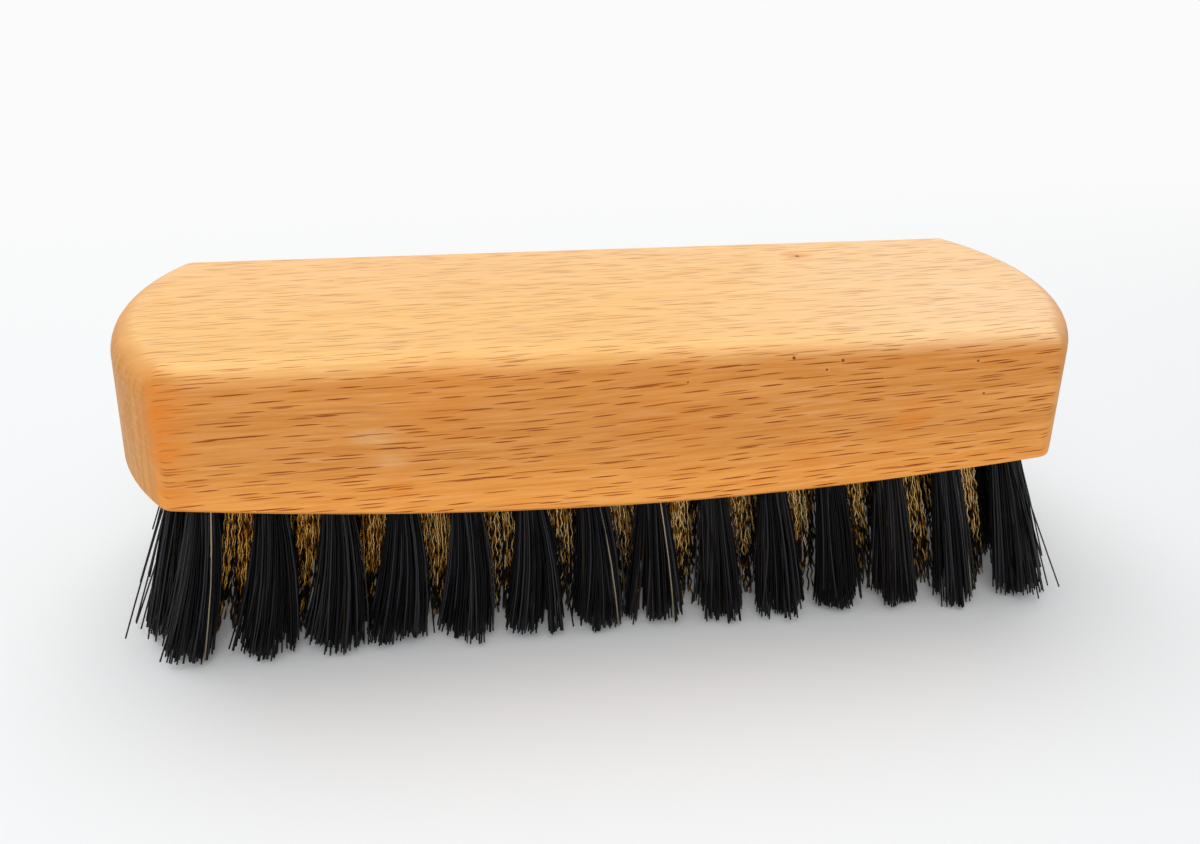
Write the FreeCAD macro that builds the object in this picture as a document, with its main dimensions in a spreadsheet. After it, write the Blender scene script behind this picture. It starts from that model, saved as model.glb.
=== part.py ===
import FreeCAD, Part
import Sketcher
import math
import os

# Suede brush, standing on its bristle tips. A one-piece beech block is drilled from below, and every hole
# holds one tuft that is folded in half over a flat anchor wire: black bristle all round the edge, crimped
# brass wire inside. X runs along the block, Y across it and Z up from the table that the tips stand on.

V = FreeCAD.Vector

ROW_COUNT = 7
OUTER_ROW_TUFTS = 14
TUFT_FACETS = 6

# Driving dimensions in millimetres, with what each one measures. A share is a plain ratio.
SIZES = (
    ("block_length", 130.0, "block over its two bowed ends"),
    ("block_width", 42.3, "block across its two straight sides"),
    ("block_thickness", 22.2, "block at mid length, where it is thickest"),
    ("end_bulge", 6.95, "how far each end bows out past its corners"),
    ("underside_rise", 4.2, "how far the rockered underside climbs to each end"),
    ("corner_radius", 2.3, "rounding of the upright corners"),
    ("top_edge_radius", 4.0, "rounding of the top edge"),
    ("lower_edge_bevel", 0.5, "easing of the lower edge"),
    ("bristle_reach", 20.7, "table to the block's underside at mid length"),
    ("row_end_margin", 4.2, "corner of the block to the last tuft of an outer row"),
    ("row_edge_margin", 5.15, "straight side of the block to the outer row"),
    ("end_tuft_inset", 1.5, "how far the last tuft of a longer row is drawn in from its regular place"),
    ("fan_radius", 280.0, "underside up to the point that all tufts lean away from"),
    ("fan_offset", 10.8, "how far that point stands to the left of the block's middle"),
    ("hole_width", 3.9, "hole across its flats"),
    ("hole_depth", 10.0, "drilled hole along its axis"),
    ("stem_clearance", 0.1, "folded tuft to the wall and the bottom of its hole"),
    ("tip_gap", 0.4, "room left between the flared tips of the closest tufts"),
    ("side_fan_share", 1.24, "tip of an outer row's tuft along the row, against an even share of the room"),
    ("side_depth_share", 0.86, "tip of an outer row's tuft across the rows, against the same"),
    ("end_fan_share", 0.9, "tip of a bristle tuft at an end along its row, against the same"),
    ("end_depth_share", 0.88, "tip of a bristle tuft at an end across the rows, against the same"),
    ("brass_fan_share", 0.9, "tip of a brass tuft along its row, against the same"),
    ("brass_depth_share", 0.85, "tip of a brass tuft across the rows, against the same"),
    ("fold_height", 1.4, "bottom of the hole down to the anchor wire"),
    ("anchor_width", 2.0, "anchor wire along the hole"),
    ("anchor_thickness", 0.4, "anchor wire across its flat"),
    ("overrun", 3.0, "how far every cutting shape runs past what it cuts"),
)

# Sizes that follow from the driving ones.
TUFT_PITCH = (
    "((Sizes.block_length - 2 * Sizes.end_bulge - 2 * Sizes.row_end_margin)"
    f" / {OUTER_ROW_TUFTS - 1})"
)
ROW_PITCH = f"((Sizes.block_width - 2 * Sizes.row_edge_margin) / {ROW_COUNT - 1})"
CLOSEST_TUFTS = f"sqrt(({TUFT_PITCH} / 2 - Sizes.end_tuft_inset) ^ 2 + {ROW_PITCH} ^ 2)"
END_RADIUS = "(Sizes.block_width ^ 2 / 4 + Sizes.end_bulge ^ 2) / (2 * Sizes.end_bulge)"
ROCKER_RADIUS = (
    "(Sizes.block_length ^ 2 / 4 + Sizes.underside_rise ^ 2) / (2 * Sizes.underside_rise)"
)
STEM_HALF_WIDTH = "(Sizes.hole_width / 2 - Sizes.stem_clearance)"
TIP_SPREAD = "(1 + Sizes.bristle_reach / Sizes.fan_radius)"
TIP_HALF_WIDTH = f"(({CLOSEST_TUFTS} * {TIP_SPREAD} - Sizes.tip_gap) / 2)"
FLAT_SHARE = f"cos(180 / {TUFT_FACETS})"
ANCHOR_BASE = "(Sizes.hole_depth - Sizes.fold_height - Sizes.anchor_width)"


def make_sheet(doc):
    sheet = doc.addObject("Spreadsheet::Sheet", "Sizes")
    for row, (alias, value, meaning) in enumerate(SIZES, start=1):
        sheet.set(f"A{row}", meaning)
        sheet.set(f"B{row}", str(value))
        sheet.setAlias(f"B{row}", alias)
    doc.recompute()
    return sheet


def bind(obj, **expressions):
    """Bind properties to expressions; a double underscore in a name stands for a dot."""
    for name, expression in expressions.items():
        obj.setExpression(name.replace("__", "."), expression)


def new_sketch(body, name, role):
    sketch = body.newObject("Sketcher::SketchObject", name)
    plane = next(item for item in body.Origin.OriginFeatures if item.Role == role)
    sketch.AttachmentSupport = [(plane, "")]
    sketch.MapMode = "FlatFace"
    return sketch


def dimension(sketch, name, constraint, expression):
    index = sketch.addConstraint(constraint)
    sketch.renameConstraint(index, name)
    sketch.setExpression(f"Constraints.{name}", expression)


def edge_names(shape, wanted):
    return [f"Edge{index}" for index, edge in enumerate(shape.Edges, start=1) if wanted(edge)]


def ease_edges(doc, body, kind, name, base, wanted, **size):
    """Round or bevel the wanted edges of a feature."""
    eased = body.newObject(f"PartDesign::{kind}", name)
    eased.Base = (base, edge_names(base.Shape, wanted))
    bind(eased, **size)
    doc.recompute()
    return eased


def is_upright(edge):
    first, last = edge.firstVertex().Point, edge.lastVertex().Point
    reach = last - first
    return math.hypot(reach.x, reach.y) < abs(reach.z) * Part.Precision.confusion()


def draw_plan(body, value):
    """Two straight sides joined by two shallow arcs that bow outwards."""
    sketch = new_sketch(body, "plan", "XY_Plane")
    end_x, side_y = value("Sizes.block_length / 2"), value("Sizes.block_width / 2")
    corner_x = end_x - value("Sizes.end_bulge")
    corners = [V(-corner_x, -side_y), V(corner_x, -side_y), V(corner_x, side_y), V(-corner_x, side_y)]
    front = sketch.addGeometry(Part.LineSegment(corners[0], corners[1]))
    right = sketch.addGeometry(Part.Arc(corners[1], V(end_x, 0), corners[2]))
    back = sketch.addGeometry(Part.LineSegment(corners[2], corners[3]))
    left = sketch.addGeometry(Part.Arc(corners[3], V(-end_x, 0), corners[0]))
    outline = (front, right, back, left)
    for index, line in enumerate(outline):
        following = outline[(index + 1) % len(outline)]
        sketch.addConstraint(Sketcher.Constraint("Coincident", line, 2, following, 1))
    sketch.addConstraint([
        Sketcher.Constraint("Symmetric", front, 1, front, 2, -2),
        Sketcher.Constraint("Symmetric", front, 1, back, 2, -1),
        Sketcher.Constraint("Horizontal", back),
        Sketcher.Constraint("PointOnObject", right, 3, -1),
        Sketcher.Constraint("Equal", right, left),
    ])
    dimension(sketch, "side_length", Sketcher.Constraint("DistanceX", front, 1, front, 2, 2 * corner_x),
              "Sizes.block_length - 2 * Sizes.end_bulge")
    dimension(sketch, "width", Sketcher.Constraint("DistanceY", front, 2, back, 1, 2 * side_y),
              "Sizes.block_width")
    dimension(sketch, "end_radius", Sketcher.Constraint("Radius", right, value(END_RADIUS)), END_RADIUS)
    return sketch


def draw_rocker(body, value):
    """What is cut from under the block: an arc that touches zero at mid length, closed below."""
    sketch = new_sketch(body, "rocker", "XZ_Plane")
    radius, overrun = value(ROCKER_RADIUS), value("Sizes.overrun")
    end_x = value("Sizes.block_length / 2") + overrun
    half_angle = math.asin(end_x / radius)
    circle = Part.Circle(V(0, radius), V(0, 0, 1), radius)
    down = -math.pi / 2
    arc = sketch.addGeometry(Part.ArcOfCircle(circle, down - half_angle, down + half_angle))
    end_y = radius - radius * math.cos(half_angle)
    right = sketch.addGeometry(Part.LineSegment(V(end_x, end_y), V(end_x, -overrun)))
    floor = sketch.addGeometry(Part.LineSegment(V(end_x, -overrun), V(-end_x, -overrun)))
    left = sketch.addGeometry(Part.LineSegment(V(-end_x, -overrun), V(-end_x, end_y)))
    sketch.addConstraint([
        Sketcher.Constraint("Coincident", arc, 2, right, 1),
        Sketcher.Constraint("Coincident", right, 2, floor, 1),
        Sketcher.Constraint("Coincident", floor, 2, left, 1),
        Sketcher.Constraint("Coincident", left, 2, arc, 1),
        Sketcher.Constraint("PointOnObject", arc, 3, -2),
        Sketcher.Constraint("Vertical", right),
        Sketcher.Constraint("Vertical", left),
        Sketcher.Constraint("Symmetric", floor, 1, floor, 2, -2),
    ])
    dimension(sketch, "radius", Sketcher.Constraint("Radius", arc, radius), ROCKER_RADIUS)
    dimension(sketch, "centre", Sketcher.Constraint("DistanceY", -1, 1, arc, 3, radius), ROCKER_RADIUS)
    dimension(sketch, "span", Sketcher.Constraint("DistanceX", floor, 2, floor, 1, 2 * end_x),
              "Sizes.block_length + 2 * Sizes.overrun")
    dimension(sketch, "floor", Sketcher.Constraint("DistanceY", floor, 1, -1, 1, overrun), "Sizes.overrun")
    return sketch


def make_block_body(doc, value):
    """The block before drilling: padded plan, rockered underside, rounded edges."""
    body = doc.addObject("PartDesign::Body", "block_body")
    bind(body, Placement__Base__z="Sizes.bristle_reach")

    pad = body.newObject("PartDesign::Pad", "blank")
    pad.Profile = draw_plan(body, value)
    bind(pad, Length="Sizes.block_thickness")

    pocket = body.newObject("PartDesign::Pocket", "underside")
    pocket.Profile = draw_rocker(body, value)
    pocket.SideType = "Symmetric"
    pocket.Type = "ThroughAll"
    doc.recompute()
    if pocket.Shape.Volume >= pad.Shape.Volume:
        raise RuntimeError("the rocker was not cut from the underside")

    corners = ease_edges(doc, body, "Fillet", "corners", pocket, is_upright, Radius="Sizes.corner_radius")
    top = max(corners.Shape.Faces, key=lambda face: face.CenterOfMass.z)
    rounded = ease_edges(
        doc, body, "Fillet", "top_edge", corners,
        lambda edge: any(edge.isSame(other) for other in top.Edges), Radius="Sizes.top_edge_radius")
    underside = min(rounded.Shape.Faces, key=lambda face: face.CenterOfMass.z)
    ease_edges(
        doc, body, "Chamfer", "lower_edge", rounded,
        lambda edge: any(edge.isSame(other) for other in underside.Edges), Size="Sizes.lower_edge_bevel")
    return body


def draw_bundle(body, name, value):
    """The tuft's section where it leaves the hole, a regular polygon in a circle."""
    sketch = new_sketch(body, name, "XY_Plane")
    corner_radius = f"{STEM_HALF_WIDTH} / {FLAT_SHARE}"
    radius = value(corner_radius)
    turns = [math.pi * (2 * index - 1) / TUFT_FACETS for index in range(TUFT_FACETS)]
    corners = [V(radius * math.cos(turn), radius * math.sin(turn)) for turn in turns]
    circle = sketch.addGeometry(Part.Circle(V(), V(0, 0, 1), radius), True)
    sides = [
        sketch.addGeometry(Part.LineSegment(corner, corners[(index + 1) % TUFT_FACETS]))
        for index, corner in enumerate(corners)
    ]
    constraints = [
        Sketcher.Constraint("Coincident", circle, 3, -1, 1),
        Sketcher.Constraint("Vertical", sides[0]),
    ]
    for index, side in enumerate(sides):
        following = sides[(index + 1) % TUFT_FACETS]
        constraints.append(Sketcher.Constraint("Coincident", side, 2, following, 1))
        constraints.append(Sketcher.Constraint("PointOnObject", side, 1, circle))
        if index:
            constraints.append(Sketcher.Constraint("Equal", sides[0], side))
    sketch.addConstraint(constraints)
    dimension(sketch, "radius", Sketcher.Constraint("Radius", circle, radius), corner_radius)
    return sketch


def flare_sides(doc, body, name, base, share, wanted):
    """Lean a skirt's wanted sides outwards, from the mouth down to their share of the room at the tip."""
    draft = body.newObject("PartDesign::Draft", name)
    sides = [
        f"Face{index}" for index, face in enumerate(base.Shape.Faces, start=1)
        if wanted(face.normalAt(0, 0))
    ]
    draft.Base = (base, sides)
    mouth = next(item for item in body.Origin.OriginFeatures if item.Role == "XY_Plane")
    draft.NeutralPlane = (mouth, [""])
    bind(draft, Angle=f"atan(({TIP_HALF_WIDTH} * {share} - {STEM_HALF_WIDTH}) / Sizes.bristle_reach)")
    doc.recompute()
    if draft.Shape.Volume <= base.Shape.Volume:
        raise RuntimeError(f"{name} does not flare towards the tip")
    return draft


def make_tuft_blank(doc, name, value, anchor):
    """One untrimmed tuft: skirt below its hole's mouth at the origin, folded stem above, anchor slot.

    The skirt flares a little across the rows and then fans out along its row, by the two sides that face
    along it.
    """
    body = doc.addObject("PartDesign::Body", f"{name}_body")
    skirt = body.newObject("PartDesign::Pad", f"{name}_skirt")
    skirt.Profile = draw_bundle(body, f"{name}_skirt_section", value)
    skirt.Reversed = True
    bind(skirt, Length="Sizes.bristle_reach + Sizes.underside_rise + Sizes.overrun")
    doc.recompute()

    deepened = flare_sides(
        doc, body, f"{name}_depth", skirt, f"Sizes.{name}_depth_share",
        lambda normal: abs(normal.y) > max(abs(normal.x), abs(normal.z)))
    flare_sides(
        doc, body, f"{name}_fan", deepened, f"Sizes.{name}_fan_share",
        lambda normal: abs(normal.x) > max(abs(normal.y), abs(normal.z)))

    stem = body.newObject("PartDesign::Pad", f"{name}_stem")
    stem.Profile = draw_bundle(body, f"{name}_stem_section", value)
    bind(stem, Length="Sizes.hole_depth - Sizes.stem_clearance")

    blank = doc.addObject("Part::Cut", f"{name}_blank")
    blank.Base = body
    blank.Tool = anchor
    return blank


def make_drill(doc):
    """The hole, with its mouth at the origin and the facets of the tuft that it grips."""
    drill = doc.addObject("Part::Prism", "drill")
    drill.Polygon = TUFT_FACETS
    drill.Placement.Rotation = FreeCAD.Rotation(V(0, 0, 1), 180 / TUFT_FACETS)
    bind(drill, Circumradius=f"Sizes.hole_width / 2 / {FLAT_SHARE}",
         Height="Sizes.hole_depth + Sizes.overrun", Placement__Base__z="-Sizes.overrun")
    return drill


def make_anchor(doc):
    """The flat wire that holds the fold, pressed in between two facets of the hole."""
    anchor = doc.addObject("Part::Box", "anchor")
    bind(anchor, Length="Sizes.hole_width", Width="Sizes.anchor_thickness", Height="Sizes.anchor_width",
         Placement__Base__x="-Sizes.hole_width / 2", Placement__Base__y="-Sizes.anchor_thickness / 2",
         Placement__Base__z=ANCHOR_BASE)
    return anchor


def make_trim(doc):
    """The space under the table's surface, where the tips are cut off level."""
    trim = doc.addObject("Part::Box", "trim")
    bind(trim, Length="2 * Sizes.block_length", Width="2 * Sizes.block_width",
         Height="Sizes.bristle_reach", Placement__Base__x="-Sizes.block_length",
         Placement__Base__y="-Sizes.block_width", Placement__Base__z="-Sizes.bristle_reach")
    return trim


def row_sites(row, value):
    """Placements of one row's hole mouths: on the rockered underside, leaning away from the fan's centre.

    Two facets of every hole stay square to the rocker, so they meet the underside in straight lines.
    """
    count = OUTER_ROW_TUFTS + row % 2
    reach, rocker = value("Sizes.bristle_reach"), value(ROCKER_RADIUS)
    fan_centre = V(-value("Sizes.fan_offset"), 0, reach + value("Sizes.fan_radius"))
    y = (row - (ROW_COUNT - 1) / 2) * value(ROW_PITCH)
    sites = []
    for index in range(count):
        x = (index - (count - 1) / 2) * value(TUFT_PITCH)
        if count > OUTER_ROW_TUFTS and index in (0, count - 1):
            x -= math.copysign(value("Sizes.end_tuft_inset"), x)
        mouth = V(x, y, reach + rocker - math.sqrt(rocker ** 2 - x ** 2))
        axis = fan_centre - mouth
        sites.append(FreeCAD.Placement(mouth, FreeCAD.Rotation(V(axis.z, 0, -axis.x), V(), axis, "ZXY")))
    return sites


def linked_copy(doc, name, source, placement):
    link = doc.addObject("App::Link", name)
    link.LinkedObject = source
    link.LinkTransform = True
    link.Placement = placement
    return link


def compound(doc, name, members):
    group = doc.addObject("Part::Compound", name)
    group.Links = members
    return group


def tuft_node(row, index, count):
    """The node that a tuft belongs to: the edge's tufts are bristle, the rest brass."""
    if row in (0, ROW_COUNT - 1):
        side = "front" if row == 0 else "back"
        return f"{side}_bristle_tuft_{index + 1:02d}"
    if index == 0:
        return "left_end_bristle_tufts"
    if index == count - 1:
        return "right_end_bristle_tufts"
    if row in (1, ROW_COUNT - 2):
        side = "front" if row == 1 else "back"
        return f"{side}_brass_tuft_{index:02d}"
    return "middle_brass_tufts"


def blank_name(node):
    """The kind of tuft that a node is made of: brass, or bristle at an end or along a side."""
    return next((kind for kind in ("brass", "end") if kind in node), "side")


def make_tufts(doc, sites, value, anchor):
    """Every tuft set at its site and cut level, gathered by node."""
    blanks = {kind: make_tuft_blank(doc, kind, value, anchor) for kind in ("brass", "end", "side")}
    trim = make_trim(doc)
    members = {}
    for row, placements in enumerate(sites):
        for index, placement in enumerate(placements):
            node = tuft_node(row, index, len(placements))
            blank = blanks[blank_name(node)]
            tuft = doc.addObject("Part::Cut", f"tuft_{row}_{index}")
            tuft.Base = linked_copy(doc, f"set_tuft_{row}_{index}", blank, placement)
            tuft.Tool = trim
            tuft.Refine = False
            members.setdefault(node, []).append(tuft)
    nodes = []
    for node, tufts in members.items():
        whole = tufts[0] if len(tufts) == 1 else compound(doc, node, tufts)
        whole.Label = node
        nodes.append(whole)
    return nodes


def make_block(doc, sites, drill, anchor, value):
    """The drilled block and the anchor wires that are pressed into it."""
    placements = [placement for row in sites for placement in row]
    holes = [
        linked_copy(doc, f"hole_{index}", drill, placement)
        for index, placement in enumerate(placements)
    ]
    wires = [
        linked_copy(doc, f"anchor_{index}", anchor, placement)
        for index, placement in enumerate(placements)
    ]
    block = doc.addObject("Part::Cut", "block")
    block.Base = make_block_body(doc, value)
    block.Tool = compound(doc, "holes", holes)
    return block, compound(doc, "anchor_wires", wires)


def check(doc, nodes, block, hole_count):
    failed = [item.Name for item in doc.Objects if {"Invalid", "Error"} & set(item.State)]
    if failed:
        raise RuntimeError(f"objects that failed: {failed}")
    drilled_faces = len(block.Shape.Faces) - len(block.Base.Shape.Faces)
    if drilled_faces != hole_count * (TUFT_FACETS + 1):
        raise RuntimeError("a hole is missing from the block")
    for node in nodes:
        if node.Shape.isNull() or not node.Shape.isValid() or not node.Shape.Solids:
            raise RuntimeError(f"{node.Label} has no valid solid")


def write_steps(nodes):
    os.makedirs("parts", exist_ok=True)
    for node in nodes:
        node.Shape.exportStep(f"parts/{node.Label}.step")
    print(f"{len(nodes)} nodes, {sum(len(node.Shape.Solids) for node in nodes)} solids")


def main():
    doc = FreeCAD.newDocument("suede_brush")
    sheet = make_sheet(doc)

    def value(expression):
        return float(sheet.evalExpression(expression))

    anchor = make_anchor(doc)
    sites = [row_sites(row, value) for row in range(ROW_COUNT)]
    block, wires = make_block(doc, sites, make_drill(doc), anchor, value)
    nodes = [block, wires, *make_tufts(doc, sites, value, anchor)]
    doc.recompute()
    check(doc, nodes, block, sum(len(row) for row in sites))
    write_steps(nodes)


main()
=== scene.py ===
import math

import bpy
import numpy as np
from bpy.props import FloatProperty, FloatVectorProperty, IntProperty, PointerProperty
from mathutils import Matrix, Vector


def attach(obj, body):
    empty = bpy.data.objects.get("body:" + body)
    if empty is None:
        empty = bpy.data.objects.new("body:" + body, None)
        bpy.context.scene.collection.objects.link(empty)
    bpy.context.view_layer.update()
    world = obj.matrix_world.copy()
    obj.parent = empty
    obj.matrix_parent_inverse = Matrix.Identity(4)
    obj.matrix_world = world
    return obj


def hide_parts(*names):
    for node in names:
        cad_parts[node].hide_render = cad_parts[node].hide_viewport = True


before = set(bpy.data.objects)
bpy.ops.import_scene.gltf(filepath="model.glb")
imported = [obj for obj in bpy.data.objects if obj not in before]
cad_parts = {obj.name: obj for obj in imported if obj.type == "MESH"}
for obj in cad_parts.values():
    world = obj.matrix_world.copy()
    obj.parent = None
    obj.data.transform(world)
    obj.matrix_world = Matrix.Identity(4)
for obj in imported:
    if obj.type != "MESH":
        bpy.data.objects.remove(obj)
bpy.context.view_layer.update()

bl_info = {
    "name": "Suede brush",
    "version": (1, 0, 0),
    "blender": (4, 5, 0),
    "location": "View3D > Sidebar > Suede brush",
    "description": "Dresses a suede brush: oiled beech block, black bristle border, crimped brass tufts",
    "category": "Object",
}

BODY = "root"
MM = 0.001

# The drilled pattern, in millimetres, as the solids have it.
ROW_COUNT = 7
OUTER_ROW_TUFTS = 14
OUTER_ROW_LENGTH = 107.7
OUTER_ROW_SPACING = 32.0
TUFT_PITCH = OUTER_ROW_LENGTH / (OUTER_ROW_TUFTS - 1)
ROW_PITCH = OUTER_ROW_SPACING / (ROW_COUNT - 1)
END_TUFT_INSET = 1.5
BRISTLE_REACH = 20.7
ROCKER_RADIUS = 505.08
FAN_RADIUS = 280.0
FAN_OFFSET = 10.8

# The block's top, a level about halfway up its sides, and half its width, in millimetres.
BLOCK_TOP, BLOCK_WAIST, BLOCK_HALF_WIDTH = 42.9, 32.0, 21.15

# A bundle in its hole, in millimetres: its radius, and how deep its strands start.
STEM_RADIUS = 1.72
FOLD_DEPTH = 4.0

# How strands gather in clumps, stray and are cut short, in millimetres. A share is a plain ratio.
CLUMP_COUNT = 14
CLUMP_PULL_SHARE = 0.3
CLUMP_DRIFT = 0.5
CLUMP_RAGGED_SHARE = 0.6
TIP_SCATTER = 0.18
BEND_SCATTER = 0.18
STRAY_SHARE, SPLAYED_STRAY_SHARE = 0.04, 0.03
STRAY_REACH = 1.6
SHORTEST_CUT = 3.0
SHORT_POWER = 8
OUTSIDE_CUT = 0.7

# How far each front tuft's tip stands to the right of its straight lean, and its half width, in millimetres.
FRONT_LEANS = (-0.7, 0.4, 0.5, 0.1, 0.5, 0.4, 0.5, 0.1, 0.5, 0.3, 0.4, -0.1, 0.1, 0.2)
FRONT_TIPS = (3.7, 4.2, 4.2, 4.2, 4.1, 3.9, 3.5, 3.5, 3.7, 3.3, 3.2, 3.1, 3.1, 3.7)
FRONT_DEPTH_LEAN = -0.1
BRASS_LEAN = 0.4
# How unevenly the other tips lean, in millimetres, and how much their widths differ.
BRISTLE_LEAN_SCATTER, BRASS_LEAN_SCATTER = 0.25, 0.3
TIP_WIDTH_RANGE = (0.92, 1.08)
# How far the tufts of the left half of the front two rows, and of the right half, bow to the right midway.
LEFT_BOW, RIGHT_BOW = 0.55, 0.15
# How far stray bristles stand outwards: at the ends, at their front tuft, and at the front row's last one.
END_SPLAY, FRONT_END_SPLAY, LAST_SPLAY = 1.2, 1.8, 2.0
# Front tufts with a pale strand, and how far its tip stands to the right of the tuft's middle.
FRONT_PALE = {0: 2.4, 6: 2.6, 7: 2.0}
# What standing further forward counts in choosing that strand, and the share that is pale by chance.
FRONTMOST_SHARE = 0.7
PALE_SHARE = 0.0025

# Points along a bristle and the sides of a strand; how unevenly wires are cut, in millimetres, and crimped.
BRISTLE_STEPS, BRISTLE_SIDES = 6, 4
WIRE_SIDES = 3
WIRE_RAGGEDNESS = 0.3
CRIMP_RANGE = (0.4, 1.3)
# Where the random numbers of the bristles and of the brass start, and how far apart two rows are.
BRISTLE_SEED, BRASS_SEED, ROW_SEED_STEP = 1000, 5000, 100
# Waves of a wire's brightness from strand to strand and along it.
STRAND_WAVES, ALONG_WAVES = 40.0, 11.0

# The strands' map: columns across, and levels of the walls and of the cut tip.
STRAND_MAP = "strand"
BAKE_MAP = "OFBake"
STRAND_COLUMNS = 32
WALL_LEVELS = (0.01, 0.97)
TIP_LEVEL, TIP_LEVEL_RADIUS, TIP_COLUMN_RADIUS = 0.992, 0.004, 0.3

# Figure of the wood, in metres: length and width of one cell of each pattern.
BAND_CELL = (0.09, 0.0048)
STREAK_CELL = (0.024, 0.0008)
FIBRE_CELL = (0.008, 0.00034)
PALE_CELL = (0.009, 0.0005)
FLECK_CELL = (0.008, 0.00072)
LONG_FLECK_CELL = (0.012, 0.0015)
STAIN_CELL = (0.0066, 0.0024)
# Shares of the cells that hold a fleck, and the long flecks' size against the others.
FLECK_SHARE, LONG_FLECK_SHARE = 0.85, 0.6
LONGER, THINNER = 1.6, 0.9
# How far along the block two of the patterns are moved, in metres, to differ from the others.
PALE_SHIFT, LONG_FLECK_SHIFT = 0.2, 0.4
# The cells' slant, the grain's climb to the right and its curve, and its sway in metres.
GRAIN_SLANT = 0.31
GRAIN_RISE, GRAIN_CURVE = 0.05, 0.13
GRAIN_SWAY = 0.002
# Waves per metre along, across and up.
SWAY_WAVES = (22.0, 60.0, 60.0)
RING_WAVES = (10.0, 950.0, 80.0)
RAY_WAVES = (10.0, 600.0, 4200.0)
PORE_WAVES = (2000.0, 2600.0, 2600.0)
DRAWN_WIRE_WAVES = (300.0, 9000.0, 9000.0)

# Where a tone sets in and where it is full, in metres.
# Where the painted light on the lower sides, standing in for light from the floor, sets in and where it is
# full.
BOUNCE_LIT_EDGE = (0.031, 0.023)
UPPER_SIDE = (0.034, 0.04)
# The painted light on the top: where it grows stronger towards the right, and where its palest part sets in
# towards the right and the back.
TOP_LIGHT_RIGHT = (-0.02, 0.06)
PALE_RIGHT = (-0.01, 0.06)
PALE_BACK = (-0.012, 0.02)
# Where the painted shade of the inner rows of brass sets in and where it is full.
SHADED_INNER_ROWS = (0.0105, 0.0075)
WARM_LEFT = (-0.012, -0.042)
FLOOR_BEHIND = (-0.05, 0.22)
FLOOR_AWAY = (0.22, 0.5)

# Marks in the wood: place in millimetres, radius in millimetres, strength.
RED_STAINS = (
    ((-57.0, -20.8, 37.6), 5.5, 0.95),
    ((-57.3, -20.9, 32.5), 5.5, 0.8),
    ((-57.0, -20.9, 26.5), 5.0, 0.6),
    ((38.2, -21.2, 31.8), 3.6, 0.6),
    ((36.3, -21.2, 29.2), 4.5, 0.4),
    ((24.0, -21.2, 27.6), 5.5, 0.35),
    ((-29.3, -21.2, 26.0), 3.5, 0.5),
    ((-24.0, -21.2, 37.4), 9.0, 0.35),
    ((5.0, -21.2, 33.0), 12.0, 0.25),
    ((31.3, 11.7, 42.9), 3.6, 0.5),
)
PALE_SCUFFS = (
    ((-32.1, -21.2, 32.8), 1.7, 0.6),
    ((-30.2, -21.2, 29.4), 1.7, 0.28),
)
SCUFF_STRETCH = 2.6
# Dark specks, and the front left corner that the painted light on the top leaves out: place and radius.
DARK_SPECKS = (
    ((31.3, 11.7, 42.9), 0.5),
    ((20.9, -20.8, 40.6), 0.34),
    ((25.3, -21.15, 38.9), 0.24),
    ((27.4, -20.9, 40.0), 0.34),
    ((45.9, -21.1, 39.1), 0.27),
    ((47.4, -21.15, 34.4), 0.25),
    ((7.1, -21.15, 38.1), 0.2),
)
DEEP_CORNER = ((-58.5, -20.5, 39.0), 6.5)

ANCHOR_DARK, ANCHOR_LIGHT = (0.42, 0.42, 0.43), (0.6, 0.6, 0.61)

# Lamps, in metres: name, place and width of the large one above, the high one in front and the low one.
LAMPS = (
    ("key_lamp", (-0.08, 0.2, 0.65), 0.7),
    ("fill_lamp", (-0.1, -0.45, 0.55), 0.5),
    ("front_lamp", (-0.12, -0.6, 0.14), 0.35),
)
LAMP_AIM = (0.0, 0.0, 0.025)
FLOOR_HALF = 3.0
FLOOR_ROUGHNESS = 0.9
SENSOR_WIDTH = 36.0
NEAREST_SEEN = 0.005


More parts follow.
